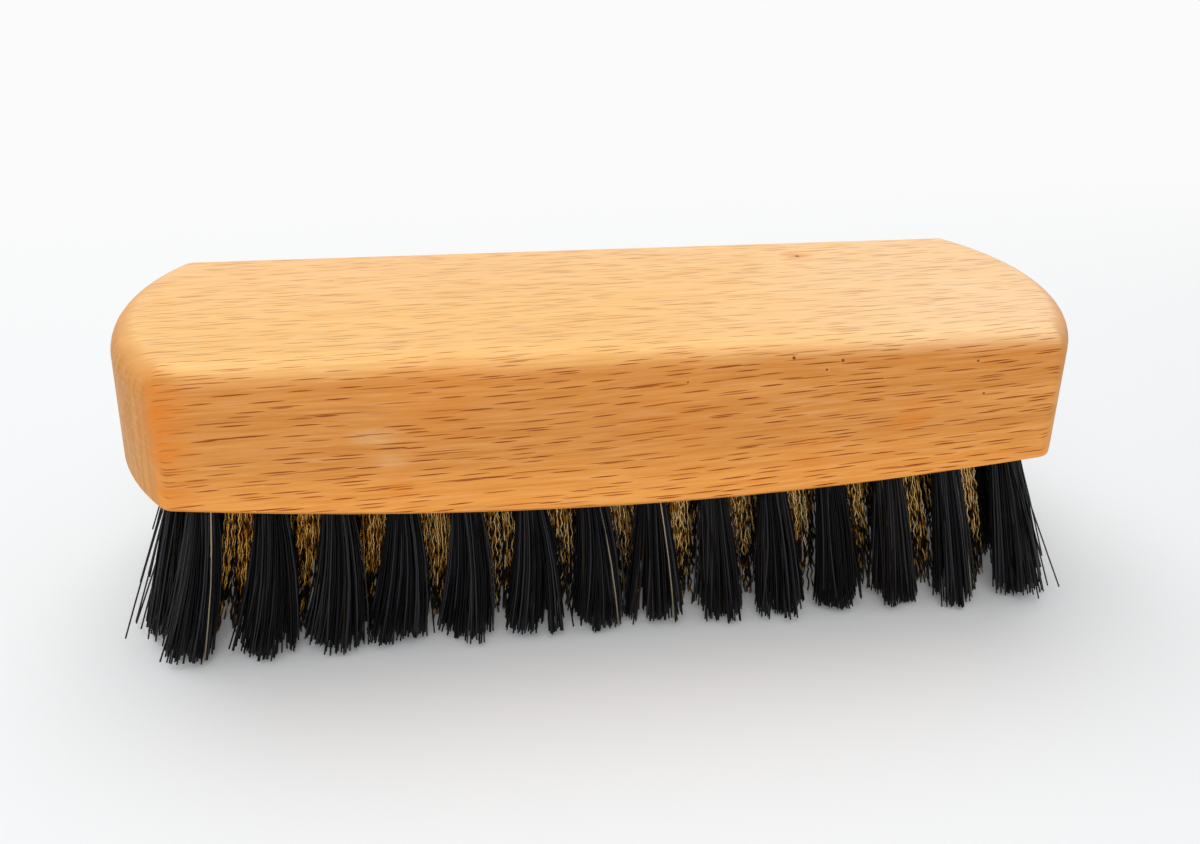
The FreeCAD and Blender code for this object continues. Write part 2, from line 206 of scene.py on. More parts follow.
class BeechLook(bpy.types.PropertyGroup):
    """Colours and figure of the beech block."""

    light_wood: FloatVectorProperty(
        name="Light wood", description="Colour of the pale growth bands", subtype="COLOR",
        size=3, default=(0.705, 0.312, 0.08), min=0, max=1)
    deep_wood: FloatVectorProperty(
        name="Deep wood", description="Colour of the deeper growth bands", subtype="COLOR",
        size=3, default=(0.63, 0.264, 0.062), min=0, max=1)
    # Painted light: the lighter colour of the lower sides stands in for light thrown up from the floor.
    bounce_lit_wood: FloatVectorProperty(
        name="Low wood", description="Colour of the wood along the lower edge", subtype="COLOR",
        size=3, default=(0.82, 0.345, 0.075), min=0, max=1)
    # Painted light and painted sheen: the paler colour of the top stands in for the stronger light on it and
    # its shine.
    lit_top_wood: FloatVectorProperty(
        name="Top wood", description="Colour that the top has been bleached towards", subtype="COLOR",
        size=3, default=(0.95, 0.605, 0.25), min=0, max=1)
    # Partly painted light, as the palest part of the top, and partly the wood's own pale lines and rays.
    pale_grain_and_top_light: FloatVectorProperty(
        name="Pale wood", description="Colour of the palest part of the top", subtype="COLOR",
        size=3, default=(0.95, 0.665, 0.395), min=0, max=1)
    streak: FloatVectorProperty(
        name="Streak", description="Tint of the fine lengthwise streaks", subtype="COLOR",
        size=3, default=(0.87, 0.77, 0.57), min=0, max=1)
    fleck: FloatVectorProperty(
        name="Ray fleck", description="Tint of the short dark flecks", subtype="COLOR",
        size=3, default=(0.36, 0.12, 0.0), min=0, max=1)
    end_grain: FloatVectorProperty(
        name="End grain", description="Colour of the two ends", subtype="COLOR",
        size=3, default=(0.65, 0.292, 0.064), min=0, max=1)
    stain: FloatVectorProperty(
        name="Stain", description="Colour of the reddish marks", subtype="COLOR",
        size=3, default=(0.68, 0.205, 0.024), min=0, max=1)
    scuff: FloatVectorProperty(
        name="Scuff", description="Colour of the pale rubbed marks", subtype="COLOR",
        size=3, default=(0.8, 0.52, 0.28), min=0, max=1)
    speck: FloatVectorProperty(
        name="Speck", description="Colour of the small dark specks", subtype="COLOR",
        size=3, default=(0.06, 0.02, 0.008), min=0, max=1)
    fleck_length: FloatProperty(
        name="Fleck half length", description="Half the length of a middling ray fleck",
        subtype="DISTANCE", unit="LENGTH", default=0.0023, min=0.0005)
    fleck_width: FloatProperty(
        name="Fleck half width", description="Half the width of a ray fleck",
        subtype="DISTANCE", unit="LENGTH", default=0.000104, min=0.00005)
    grain_depth: FloatProperty(
        name="Grain depth", description="Depth of the flecks and streaks under the surface",
        subtype="DISTANCE", unit="LENGTH", default=0.00008, min=0)
    roughness: FloatProperty(
        name="Roughness", description="Roughness of the oiled surface", subtype="FACTOR",
        default=0.42, min=0, max=1)
    gloss: FloatProperty(
        name="Gloss", description="Strength of the oil's shine", subtype="FACTOR",
        default=0.12, min=0, max=1)


class BristleLook(bpy.types.PropertyGroup):
    """Make-up of the black bristle tufts."""

    count: IntProperty(name="Bristles", description="Bristles in a tuft", default=230, min=10, max=400)
    thickness: FloatProperty(
        name="Thickness", description="Thickness of one bristle", subtype="DISTANCE",
        unit="LENGTH", default=0.00022, min=0.0001)
    tip_width: FloatProperty(
        name="Tip half width", description="Half the width of a tip along its row", subtype="DISTANCE",
        unit="LENGTH", default=0.0036, min=0.001)
    tip_depth: FloatProperty(
        name="Tip half depth", description="Half the width of a tip across the rows", subtype="DISTANCE",
        unit="LENGTH", default=0.0029, min=0.001)
    raggedness: FloatProperty(
        name="Raggedness", description="How unevenly the tips are cut", subtype="DISTANCE",
        unit="LENGTH", default=0.0008, min=0)
    black: FloatVectorProperty(
        name="Black", description="Colour of most bristles", subtype="COLOR",
        size=3, default=(0.0032, 0.0032, 0.004), min=0, max=1)
    brown: FloatVectorProperty(
        name="Brown black", description="Colour of the browner bristles", subtype="COLOR",
        size=3, default=(0.013, 0.009, 0.006), min=0, max=1)
    # Painted highlight: the colour of a share of the bristles, standing in for light glancing along them.
    highlight_grey: FloatVectorProperty(
        name="Grey", description="Colour of the worn, shinier bristles", subtype="COLOR",
        size=3, default=(0.026, 0.026, 0.029), min=0, max=1)
    pale: FloatVectorProperty(
        name="Pale", description="Colour of the few pale bristles", subtype="COLOR",
        size=3, default=(0.36, 0.29, 0.19), min=0, max=1)
    roughness: FloatProperty(
        name="Roughness", description="Roughness of a bristle", subtype="FACTOR",
        default=0.42, min=0, max=1)
    gloss: FloatProperty(
        name="Gloss", description="Strength of a bristle's shine", subtype="FACTOR",
        default=0.1, min=0, max=1)


class BrassLook(bpy.types.PropertyGroup):
    """Make-up of the crimped brass tufts."""

    count: IntProperty(name="Wires", description="Wires in a tuft that shows", default=40, min=10, max=200)
    inner_count: IntProperty(
        name="Inner wires", description="Wires in a tuft of the inner rows", default=34, min=10, max=200)
    thickness: FloatProperty(
        name="Thickness", description="Thickness of one wire", subtype="DISTANCE",
        unit="LENGTH", default=0.00028, min=0.00005)
    crimp_pitch: FloatProperty(
        name="Crimp pitch", description="Length of one wave of the wire", subtype="DISTANCE",
        unit="LENGTH", default=0.002, min=0.0005)
    crimp_height: FloatProperty(
        name="Crimp height", description="Swing of the wave to each side", subtype="DISTANCE",
        unit="LENGTH", default=0.00017, min=0)
    tip_width: FloatProperty(
        name="Tip half width", description="Half the width of a tip along its row", subtype="DISTANCE",
        unit="LENGTH", default=0.0027, min=0.001)
    tip_depth: FloatProperty(
        name="Tip half depth", description="Half the width of a tip across the rows", subtype="DISTANCE",
        unit="LENGTH", default=0.0026, min=0.001)
    # Painted light and shade: the first colour below is the painted glints, the third one the painted shade
    # between them, towards the tips and in the inner rows, and the second one the duller brass between.
    bright: FloatVectorProperty(
        name="Bright brass", description="Colour of the clean wires", subtype="COLOR",
        size=3, default=(1.0, 0.72, 0.32), min=0, max=1)
    dull: FloatVectorProperty(
        name="Dull brass", description="Colour of the tarnished wires", subtype="COLOR",
        size=3, default=(0.66, 0.33, 0.04), min=0, max=1)
    dark: FloatVectorProperty(
        name="Dark brass", description="Colour of the wires where they are dirty", subtype="COLOR",
        size=3, default=(0.014, 0.007, 0.0015), min=0, max=1)
    warm: FloatVectorProperty(
        name="Warm tint", description="Tint of the wires towards the left end", subtype="COLOR",
        size=3, default=(1.0, 0.82, 0.45), min=0, max=1)
    roughness: FloatProperty(
        name="Roughness", description="Roughness of a wire", subtype="FACTOR",
        default=0.12, min=0, max=1)


class StageLook(bpy.types.PropertyGroup):
    """Floor, light and camera."""

    floor_near: FloatVectorProperty(
        name="Floor near", description="Floor colour in front of the brush", subtype="COLOR",
        size=3, default=(0.81, 0.835, 0.85), min=0, max=1)
    floor_far: FloatProperty(
        name="Floor far", description="Brightness that the floor fades to behind the brush",
        default=0.965, min=0, max=1)
    sky: FloatProperty(
        name="Sky", description="Strength of the light from all around", default=0.46, min=0)
    backdrop: FloatProperty(
        name="Backdrop", description="Brightness of the surroundings as seen and mirrored",
        default=0.95, min=0)
    key_power: FloatProperty(
        name="Key", description="Power of the large lamp above", subtype="POWER", unit="POWER",
        default=2.65, min=0)
    fill_power: FloatProperty(
        name="Fill", description="Power of the high lamp in front", subtype="POWER", unit="POWER",
        default=1.3, min=0)
    front_power: FloatProperty(
        name="Front", description="Power of the low lamp beside the camera", subtype="POWER", unit="POWER",
        default=1.0, min=0)
    eye: FloatVectorProperty(
        name="Eye", description="Where the camera stands", subtype="TRANSLATION", unit="LENGTH",
        size=3, default=(-0.032478, -0.172730, 0.106899))
    yaw: FloatProperty(
        name="Yaw", description="Turn of the camera to the right", subtype="ANGLE", unit="ROTATION",
        default=math.radians(10.631))
    pitch: FloatProperty(
        name="Pitch", description="Tilt of the camera down", subtype="ANGLE", unit="ROTATION",
        default=math.radians(25.537))
    roll: FloatProperty(
        name="Roll", description="Turn of the camera about its own line of sight", subtype="ANGLE",
        unit="ROTATION", default=math.radians(1.529))
    lens: FloatProperty(
        name="Lens", description="Focal length", subtype="DISTANCE_CAMERA", unit="CAMERA",
        default=40.674, min=1)


class Socket:
    """An output of a node that takes part in Python's arithmetic; each step adds a Math node."""

    def __init__(self, finish, output):
        self.finish = finish
        self.output = output

    def out(self, name):
        return Socket(self.finish, find_socket(self.output.node.outputs, name))

    def math(self, operation, *values):
        return self.finish.node("ShaderNodeMath", {"operation": operation}, dict(enumerate(values)))

    def __add__(self, other):
        return self.math("ADD", self, other)

    def __sub__(self, other):
        return self.math("SUBTRACT", self, other)

    def __rsub__(self, other):
        return self.math("SUBTRACT", other, self)

    def __mul__(self, other):
        return self.math("MULTIPLY", self, other)

    __radd__ = __add__
    __rmul__ = __mul__

    def __abs__(self):
        return self.math("ABSOLUTE", self)

    def highest(self, other):
        return self.math("MAXIMUM", self, other)

    def step(self, start, end):
        """Smooth step from 0 at start to 1 at end; start may be the larger one."""
        low, high = (start, end) if start < end else (end, start)
        value = self.finish.node(
            "ShaderNodeMapRange", {"interpolation_type": "SMOOTHSTEP"},
            {"Value": self, "From Min": low, "From Max": high})
        return value if start < end else 1 - value


class Finish:
    """The node tree of a material or a world, and short ways to add to it."""

    def __init__(self, owner):
        self.owner = owner
        owner.use_nodes = True
        self.tree = owner.node_tree
        self.tree.nodes.clear()

    def node(self, kind, settings=None, inputs=None):
        """Add a node: its settings first, then the values or links of its inputs."""
        node = self.tree.nodes.new(kind)
        for name, value in (settings or {}).items():
            setattr(node, name, value)
        for key, value in (inputs or {}).items():
            socket = find_socket(node.inputs, key)
            if isinstance(value, Socket):
                self.tree.links.new(value.output, socket)
            else:
                socket.default_value = value
        if not node.outputs:
            return node
        return Socket(self, next(output for output in node.outputs if output.enabled))

    def mix(self, factor, first, second):
        return self.node(
            "ShaderNodeMix", {"data_type": "RGBA"},
            {"Factor_Float": factor, "A_Color": colour(first), "B_Color": colour(second)})

    def shade(self, factor, first, tint):
        """A colour multiplied by a tint, as far as the factor says."""
        return self.node(
            "ShaderNodeMix", {"data_type": "RGBA", "blend_type": "MULTIPLY"},
            {"Factor_Float": factor, "A_Color": colour(first), "B_Color": colour(tint)})

    def vector(self, operation, first, second):
        return self.node("ShaderNodeVectorMath", {"operation": operation}, {0: first, 1: second})

    def split(self, vector):
        parts = self.node("ShaderNodeSeparateXYZ", inputs={"Vector": vector})
        return parts, parts.out("Y"), parts.out("Z")

    def noise(self, place, detail=2.0, dimensions="3D"):
        return self.node(
            "ShaderNodeTexNoise", {"noise_dimensions": dimensions},
            {"Vector": place, "Scale": 1.0, "Detail": detail})

    def waves(self, place, scale, detail):
        return self.noise(self.vector("MULTIPLY", place, scale), detail)

    def unrolled(self, along, round_about, cell):
        """Places in cells drawn out along the wood; the slant keeps them from lining up across the grain."""
        length, width = cell
        across = round_about * (1 / width)
        return self.node(
            "ShaderNodeCombineXYZ", inputs={"X": along * (1 / length) + across * GRAIN_SLANT, "Y": across})

    def grain(self, along, round_about, cell, detail):
        return self.noise(self.unrolled(along, round_about, cell), detail, "2D")

    def flecks(self, along, round_about, cell, size, share):
        """Lens-shaped flecks of about a half length and half width, one in each of that share of cells."""
        place = self.unrolled(along, round_about, cell)
        cells = self.node(
            "ShaderNodeTexVoronoi", {"voronoi_dimensions": "2D"}, {"Vector": place, "Scale": 1.0})
        red, green, blue = self.split(cells.out("Color"))
        off_x, off_y, _ = self.split(self.vector("SUBTRACT", place, cells.out("Position")))
        reach = (off_x - off_y * GRAIN_SLANT) * (cell[0] / size[0])
        lens = 1 - reach * reach * (0.5 + 1.3 * green) - abs(off_y) * (cell[1] / size[1])
        return lens.step(0.0, 0.3) * red.step(1 - share, 1.02 - share) * (0.6 + 0.4 * blue)

    def near(self, place, centre, radius, stretch=1.0):
        """1 at a centre in millimetres, falling smoothly to 0 at the radius, drawn out along the block."""
        squeeze = (1 / stretch, 1.0, 1.0)
        centre = [value * share * MM for value, share in zip(centre, squeeze)]
        gap = self.vector("DISTANCE", self.vector("MULTIPLY", place, squeeze), centre).out("Value")
        return gap.step(radius * MM, 0.0)

    def surface(self, **sockets):
        inputs = {name.replace("_", " "): value for name, value in sockets.items()}
        shader = self.node("ShaderNodeBsdfPrincipled", inputs=inputs)
        self.node("ShaderNodeOutputMaterial", inputs={"Surface": shader})
        return self.owner


def find_socket(sockets, key):
    """A node's socket by its number, its identifier or its name."""
    if isinstance(key, int):
        return sockets[key]
    return next(item for item in sockets if item.identifier == key or item.enabled and item.name == key)


def colour(value):
    return value if isinstance(value, Socket) else (*value, 1.0)


def beech_finish(look):
    """Oiled beech: growth bands, fine streaks and dark ray flecks along the block, rings on its ends."""
    f = Finish(bpy.data.materials.new("beech"))
    place = f.node("ShaderNodeTexCoord").out("Object")
    x, y, z = f.split(place)
    normal_x, _, normal_z = f.split(f.node("ShaderNodeNewGeometry").out("Normal"))
    endwards = abs(normal_x)
    end = endwards.step(0.6, 0.92)
    lengthwise = endwards.step(0.6, 0.2)
    # Mask of the painted light on the top, by its upward normal, less near the ends and at the front left
    # corner.
    top = normal_z.step(0.2, 0.95) * (1 - 0.6 * endwards.step(0.15, 0.6))
    top = top * (1 - 0.8 * f.near(place, *DEEP_CORNER).step(0.0, 0.7))

    way = way_round(f, place)
    bands = f.grain(x, way, BAND_CELL, 2.0).step(0.34, 0.66)
    streaks = f.grain(x, way, STREAK_CELL, 3.0).step(0.38, 0.64)
    fibres = f.grain(x, way, FIBRE_CELL, 2.0).step(0.4, 0.66)
    pale = f.grain(x + PALE_SHIFT, way, PALE_CELL, 2.0).step(0.52, 0.72)
    size = (look.fleck_length, look.fleck_width)
    long_size = (LONGER * look.fleck_length, THINNER * look.fleck_width)
    flecks = f.flecks(x, way, FLECK_CELL, size, FLECK_SHARE)
    long_flecks = f.flecks(x + LONG_FLECK_SHIFT, way, LONG_FLECK_CELL, long_size, LONG_FLECK_SHARE)
    dark = flecks.highest(long_flecks * 0.9) * (1 - 0.35 * top) * endwards.step(0.55, 0.15)

    wood = f.mix(bands, look.deep_wood, look.light_wood)
    # Painted light: the lower sides lightened, standing in for light from the floor.
    wood = f.mix(z.step(*BOUNCE_LIT_EDGE) * 0.8, wood, look.bounce_lit_wood)
    # Painted light and painted sheen on the top, paler towards the right and the back.
    paler = x.step(*PALE_RIGHT).highest(y.step(*PALE_BACK) * 0.55)
    painted_top_light = f.mix(paler, look.lit_top_wood, look.pale_grain_and_top_light)
    wood = f.mix(top * (0.7 + 0.15 * x.step(*TOP_LIGHT_RIGHT)), wood, painted_top_light)
    wood = f.shade(z.step(*UPPER_SIDE) * (1 - top) * 0.35, wood, look.streak)
    wood = f.shade(streaks * (0.5 - 0.25 * top) * lengthwise, wood, look.streak)
    wood = f.shade(fibres * (0.55 - 0.2 * top) * lengthwise, wood, look.streak)
    wood = f.mix(pale * (0.08 + 0.1 * top) * lengthwise, wood, look.pale_grain_and_top_light)
    wood = f.shade(dark, wood, look.fleck)
    wood = f.mix(end, wood, end_wood(f, place, look))
    cloud = 0.4 + 0.6 * f.grain(x, way, STAIN_CELL, 2.0).step(0.25, 0.7)
    wood = marked_wood(f, place, wood, cloud, look)

    height = 1 - (dark * 0.8 + streaks * 0.12 + fibres * 0.15)
    bump = f.node(
        "ShaderNodeBump", inputs={"Strength": 0.35, "Distance": look.grain_depth, "Height": height})
    return f.surface(
        Base_Color=wood, Roughness=look.roughness + 0.15 * dark + 0.1 * streaks,
        Specular_IOR_Level=look.gloss, Normal=bump)


def way_round(f, place):
    """The block's surface unrolled as its grain runs: up the front, over the top and down the back."""
    x, y, z = f.split(place)
    sway = f.waves(place, SWAY_WAVES, 1.0) - 0.5
    upper = z - BLOCK_WAIST * MM
    up = z + upper.math("SIGN", upper) * (BLOCK_HALF_WIDTH * MM - abs(y)) - BLOCK_HALF_WIDTH * MM
    girth = BLOCK_TOP * MM - y.math("SIGN", y) * (up - BLOCK_TOP * MM)
    return girth - x * (GRAIN_RISE + GRAIN_CURVE * x) + sway * GRAIN_SWAY


def end_wood(f, place, look):
    """End grain: growth rings, fine pale rays and pores."""
    rings = f.waves(place, RING_WAVES, 2.0).step(0.4, 0.6)
    rays = f.waves(place, RAY_WAVES, 1.0).step(0.5, 0.7)
    pores = f.waves(place, PORE_WAVES, 1.0).step(0.5, 0.7)
    wood = f.shade(rings * 0.8 + pores * 0.3, look.end_grain, look.streak)
    return f.mix(rays * 0.12, wood, look.pale_grain_and_top_light)


def marked_wood(f, place, wood, cloud, look):
    """The wood with its reddish stains, pale rubbed marks and dark specks."""
    for centre, radius, strength in RED_STAINS:
        wood = f.mix(f.near(place, centre, radius) * cloud * strength, wood, look.stain)
    for centre, radius, strength in PALE_SCUFFS:
        wood = f.mix(f.near(place, centre, radius, SCUFF_STRETCH) * cloud * strength, wood, look.scuff)
    for centre, radius in DARK_SPECKS:
        wood = f.mix(f.near(place, centre, radius).step(0.0, 0.6) * 0.85, wood, look.speck)
    return wood


def strand_values(f):
    """A strand's own number from 0 to 1 and the place along it, 0 in the hole and 1 at the tip."""
    across, along, _ = f.split(f.node("ShaderNodeUVMap", {"uv_map": STRAND_MAP}))
    column = across * STRAND_COLUMNS
    column = column.math("FLOOR", column)
    number = f.node("ShaderNodeTexWhiteNoise", {"noise_dimensions": "1D"}, {"W": column})
    return number, along


def bristle_finish(look):
    """Black bristle: most strands blue-black, some brownish, some lighter as painted highlights, paler at
    the cut tip.
    """
    f = Finish(bpy.data.materials.new("black_bristle"))
    number, along = strand_values(f)
    tint = f.mix(number.step(0.6, 0.66), look.black, look.brown)
    # Painted highlights: a share of the strands lighter along their whole length.
    tint = f.mix(number.step(0.74, 0.8), tint, look.highlight_grey)
    tint = f.mix(along.step(0.985, 0.995) * 0.5, tint, look.pale)
    sheen = look.roughness + 0.3 * (number - 0.5)
    return f.surface(Base_Color=tint, Roughness=sheen, Specular_IOR_Level=look.gloss)


def pale_bristle_finish(look):
    """The few undyed bristles."""
    f = Finish(bpy.data.materials.new("pale_bristle"))
    number, along = strand_values(f)
    tint = f.mix(along.step(0.2, 0.9) * 0.45, look.pale, look.brown)
    return f.surface(Base_Color=tint, Roughness=look.roughness + 0.1 * number)


def brass_finish(look):
    """Crimped brass wire: painted glints, duller brass and painted shade by turns, warmer towards the left
    end.
    """
    f = Finish(bpy.data.materials.new("brass_wire"))
    number, along = strand_values(f)
    x, depth, _ = f.split(f.node("ShaderNodeTexCoord").out("Object"))
    # Painted shade deep in the brush: the inner rows are darkened.
    inside = abs(depth).step(*SHADED_INNER_ROWS)
    place = f.node("ShaderNodeCombineXYZ", inputs={"X": number * STRAND_WAVES, "Y": along * ALONG_WAVES})
    # Painted glints and painted shade by turns along and between the wires, with more painted shade towards
    # the tips and in the inner rows.
    shine = f.noise(place, 1.0) - 0.2 * along.step(0.5, 0.95) - 0.1 * inside
    tint = f.mix(shine.step(0.36, 0.45), look.dark, look.dull)
    tint = f.mix(shine.step(0.455, 0.5), tint, look.bright)
    tint = f.shade(x.step(*WARM_LEFT), tint, look.warm)
    return f.surface(Base_Color=tint, Roughness=look.roughness + 0.25 * shine.step(0.6, 0.4), Metallic=0.7)


def anchor_finish():
    """Flat drawn steel wire with faint lengthwise lines."""
    f = Finish(bpy.data.materials.new("anchor_steel"))
    place = f.node("ShaderNodeTexCoord").out("Object")
    lines = f.waves(place, DRAWN_WIRE_WAVES, 2.0)
    tint = f.mix(lines, ANCHOR_DARK, ANCHOR_LIGHT)
    return f.surface(Base_Color=tint, Roughness=0.3 + 0.2 * lines, Metallic=1.0)


class Site:
    """One hole: its mouth on the underside, the way its tuft leans, and the node it belongs to."""

    def __init__(self, row, index):
        self.row, self.index = row, index
        count = OUTER_ROW_TUFTS + row % 2
        x = (index - (count - 1) / 2) * TUFT_PITCH
        if count > OUTER_ROW_TUFTS and index in (0, count - 1):
            x -= math.copysign(END_TUFT_INSET, x)
        y = (row - (ROW_COUNT - 1) / 2) * ROW_PITCH
        rise = ROCKER_RADIUS - math.sqrt(ROCKER_RADIUS ** 2 - x ** 2)
        self.mouth = np.array([x, y, BRISTLE_REACH + rise]) * MM
        lean = np.array([x + FAN_OFFSET, y, rise - FAN_RADIUS])
        self.down = lean / np.linalg.norm(lean)
        self.across = np.cross([0.0, 1.0, 0.0], -self.down)
        self.across /= np.linalg.norm(self.across)
        self.back = np.cross(-self.down, self.across)
        self.is_bristle = row in (0, ROW_COUNT - 1) or index in (0, count - 1)
        self.node = self.find_node(count)

    def find_node(self, count):
        if self.row in (0, ROW_COUNT - 1):
            return f"{'back' if self.row else 'front'}_bristle_tuft_{self.index + 1:02d}"
        if self.index in (0, count - 1):
            return f"{'right' if self.index else 'left'}_end_bristle_tufts"
        if self.row in (1, ROW_COUNT - 2):
            return f"{'front' if self.row == 1 else 'back'}_brass_tuft_{self.index:02d}"
        return "middle_brass_tufts"

    def bow(self):
        """How far a tuft of the front two rows bows to the right midway, in millimetres."""
        return LEFT_BOW if self.mouth[0] < 0 else RIGHT_BOW

    def splay(self):
        """How far the stray bristles of a tuft near an end stand to the right, in millimetres."""
        if self.node.endswith("end_bristle_tufts"):
            return math.copysign(END_SPLAY if self.row > 1 else FRONT_END_SPLAY, self.mouth[0])
        is_last = self.row == 0 and self.index == OUTER_ROW_TUFTS - 1
        return LAST_SPLAY if is_last else 0.0


def all_sites():
    return [
        Site(row, index) for row in range(ROW_COUNT) for index in range(OUTER_ROW_TUFTS + row % 2)
    ]


def by_node(sites):
    """Sites in groups, by the node that they belong to."""
    groups = {}
    for site in sites:
        groups.setdefault(site.node, []).append(site)
    return groups


def tuft_random(seed, site):
    """A node's own random numbers, the same on every run, from its first site."""
    return np.random.default_rng(seed + ROW_SEED_STEP * site.row + site.index)


def strand_paths(site, rng, count, tip_size, ragged, lean, steps, outward=0.0, bow=0.0):
    """Paths of one tuft's strands, from inside the hole to the trimmed tip, as (strand, step, xyz)."""
    number = np.arange(count)
    radius = STEM_RADIUS * MM * np.sqrt((number + 0.5) / count)
    turn = number * math.pi * (3 - math.sqrt(5)) + rng.uniform(0, 2 * math.pi)
    root = np.stack([radius * np.cos(turn), radius * np.sin(turn)], axis=1)

    clumps = rng.normal(0, STEM_RADIUS * MM, (CLUMP_COUNT, 2))
    nearest = np.argmin(np.linalg.norm(root[:, None] - clumps[None], axis=2), axis=1)
    drift = CLUMP_PULL_SHARE * (clumps[nearest] - root)
    drift = drift + rng.normal(0, CLUMP_DRIFT * MM, (CLUMP_COUNT, 2))[nearest]
    fan = root * np.asarray(tip_size) / (STEM_RADIUS * MM)
    tip = fan + drift + np.asarray(lean) * MM + rng.normal(0, TIP_SCATTER * MM, root.shape)
    strays = rng.random(count) < STRAY_SHARE + SPLAYED_STRAY_SHARE * abs(outward)
    stray_reach = STRAY_REACH * MM
    tip[strays] += rng.uniform(-stray_reach, stray_reach, (int(strays.sum()), 2)) + (outward * MM, 0)

    outside = np.linalg.norm(fan / np.asarray(tip_size), axis=1)
    trimmed = np.abs(rng.normal(0, ragged, count))
    trimmed += rng.random(count) ** SHORT_POWER * SHORTEST_CUT * MM
    trimmed += OUTSIDE_CUT * MM * outside ** 3
    trimmed += np.abs(rng.normal(0, CLUMP_RAGGED_SHARE * ragged, CLUMP_COUNT))[nearest]

    plane = np.stack([site.across, site.back])
    length = (site.mouth[2] + tip @ plane[:, 2] - trimmed) / -site.down[2]
    share = np.linspace(0, 1, steps)
    depth = -FOLD_DEPTH * MM + share[None] * (length[:, None] + FOLD_DEPTH * MM)
    out = np.clip(depth / length[:, None], 0, 1)[..., None]
    bend = (rng.normal(0, BEND_SCATTER * MM, (count, 1, 2)) + (bow * MM, 0)) * np.sin(out * math.pi)
    flat = root[:, None] + out * (tip - root)[:, None] + bend
    return site.mouth + depth[..., None] * site.down + flat @ plane


def crimp(paths, site, rng, height):
    """Bend wires into short flat waves, each in a plane of its own."""
    count, steps, _ = paths.shape
    turn = rng.uniform(0, 2 * math.pi, count)
    swing = np.cos(turn)[:, None] * site.across + np.sin(turn)[:, None] * site.back
    side = np.where((np.arange(steps) + rng.integers(0, 2, count)[:, None]) % 2, 1.0, -1.0)
    side *= rng.uniform(*CRIMP_RANGE, (count, steps)) * height
    slide = rng.uniform(0, 1, (count, 1, 1)) * (paths[:, 1:2] - paths[:, :1])
    slide = slide * (np.arange(steps) < steps - 1)[:, None]
    return paths + side[..., None] * swing[:, None] - slide


def tube_turns(sides):
    return np.arange(sides) * 2 * math.pi / sides


def tube_corners(paths, thickness, sides):
    """Corners of thin tubes along paths, as (strand, step, side, xyz), none below the table."""
    along = np.gradient(paths, axis=1)
    along /= np.linalg.norm(along, axis=2, keepdims=True)
    side = np.cross(along, [1.0, 0.0, 0.0])
    side /= np.linalg.norm(side, axis=2, keepdims=True)
    other = np.cross(along, side)
    turn = tube_turns(sides)
    around = np.cos(turn)[:, None] * side[:, :, None] + np.sin(turn)[:, None] * other[:, :, None]
    corners = paths[:, :, None] + around * thickness / 2
    corners[..., 2] = np.maximum(corners[..., 2], 0.0)
    return corners


def tube_faces(count, steps, sides):
    """Corner numbers of the tubes' walls, four to a face, and of their tips."""
    index = np.arange(count * steps * sides).reshape(count, steps, sides)
    following = np.roll(index, -1, axis=2)
    walls = np.stack([index[:, :-1], following[:, :-1], following[:, 1:], index[:, 1:]], axis=-1)
    return walls.reshape(-1, 4), index[:, -1]


def tube_map(column, steps, sides):
    """Map places of all face corners, walls first: a strand in its column, with its tip at the top."""
    count = len(column)
    left = (np.arange(sides) + 0.5) / (sides + 1)
    right = (np.arange(sides) + 1.5) / (sides + 1)
    level = np.linspace(*WALL_LEVELS, steps)
    shape = (count, steps - 1, sides)
    u_left = np.broadcast_to((column[:, None, None] + left) / STRAND_COLUMNS, shape)
    u_right = np.broadcast_to((column[:, None, None] + right) / STRAND_COLUMNS, shape)
    v_low = np.broadcast_to(level[None, :-1, None], shape)
    v_high = np.broadcast_to(level[None, 1:, None], shape)
    walls = np.stack([
        np.stack([u_left, v_low], -1), np.stack([u_right, v_low], -1),
        np.stack([u_right, v_high], -1), np.stack([u_left, v_high], -1)], axis=3)
    turn = tube_turns(sides)
    tips = np.stack([
        (column[:, None] + 0.5 + TIP_COLUMN_RADIUS * np.cos(turn)) / STRAND_COLUMNS,
        np.broadcast_to(TIP_LEVEL + TIP_LEVEL_RADIUS * np.sin(turn), (count, sides))], axis=-1)
    return np.concatenate([walls.reshape(-1), tips.reshape(-1)]).astype(np.float32)


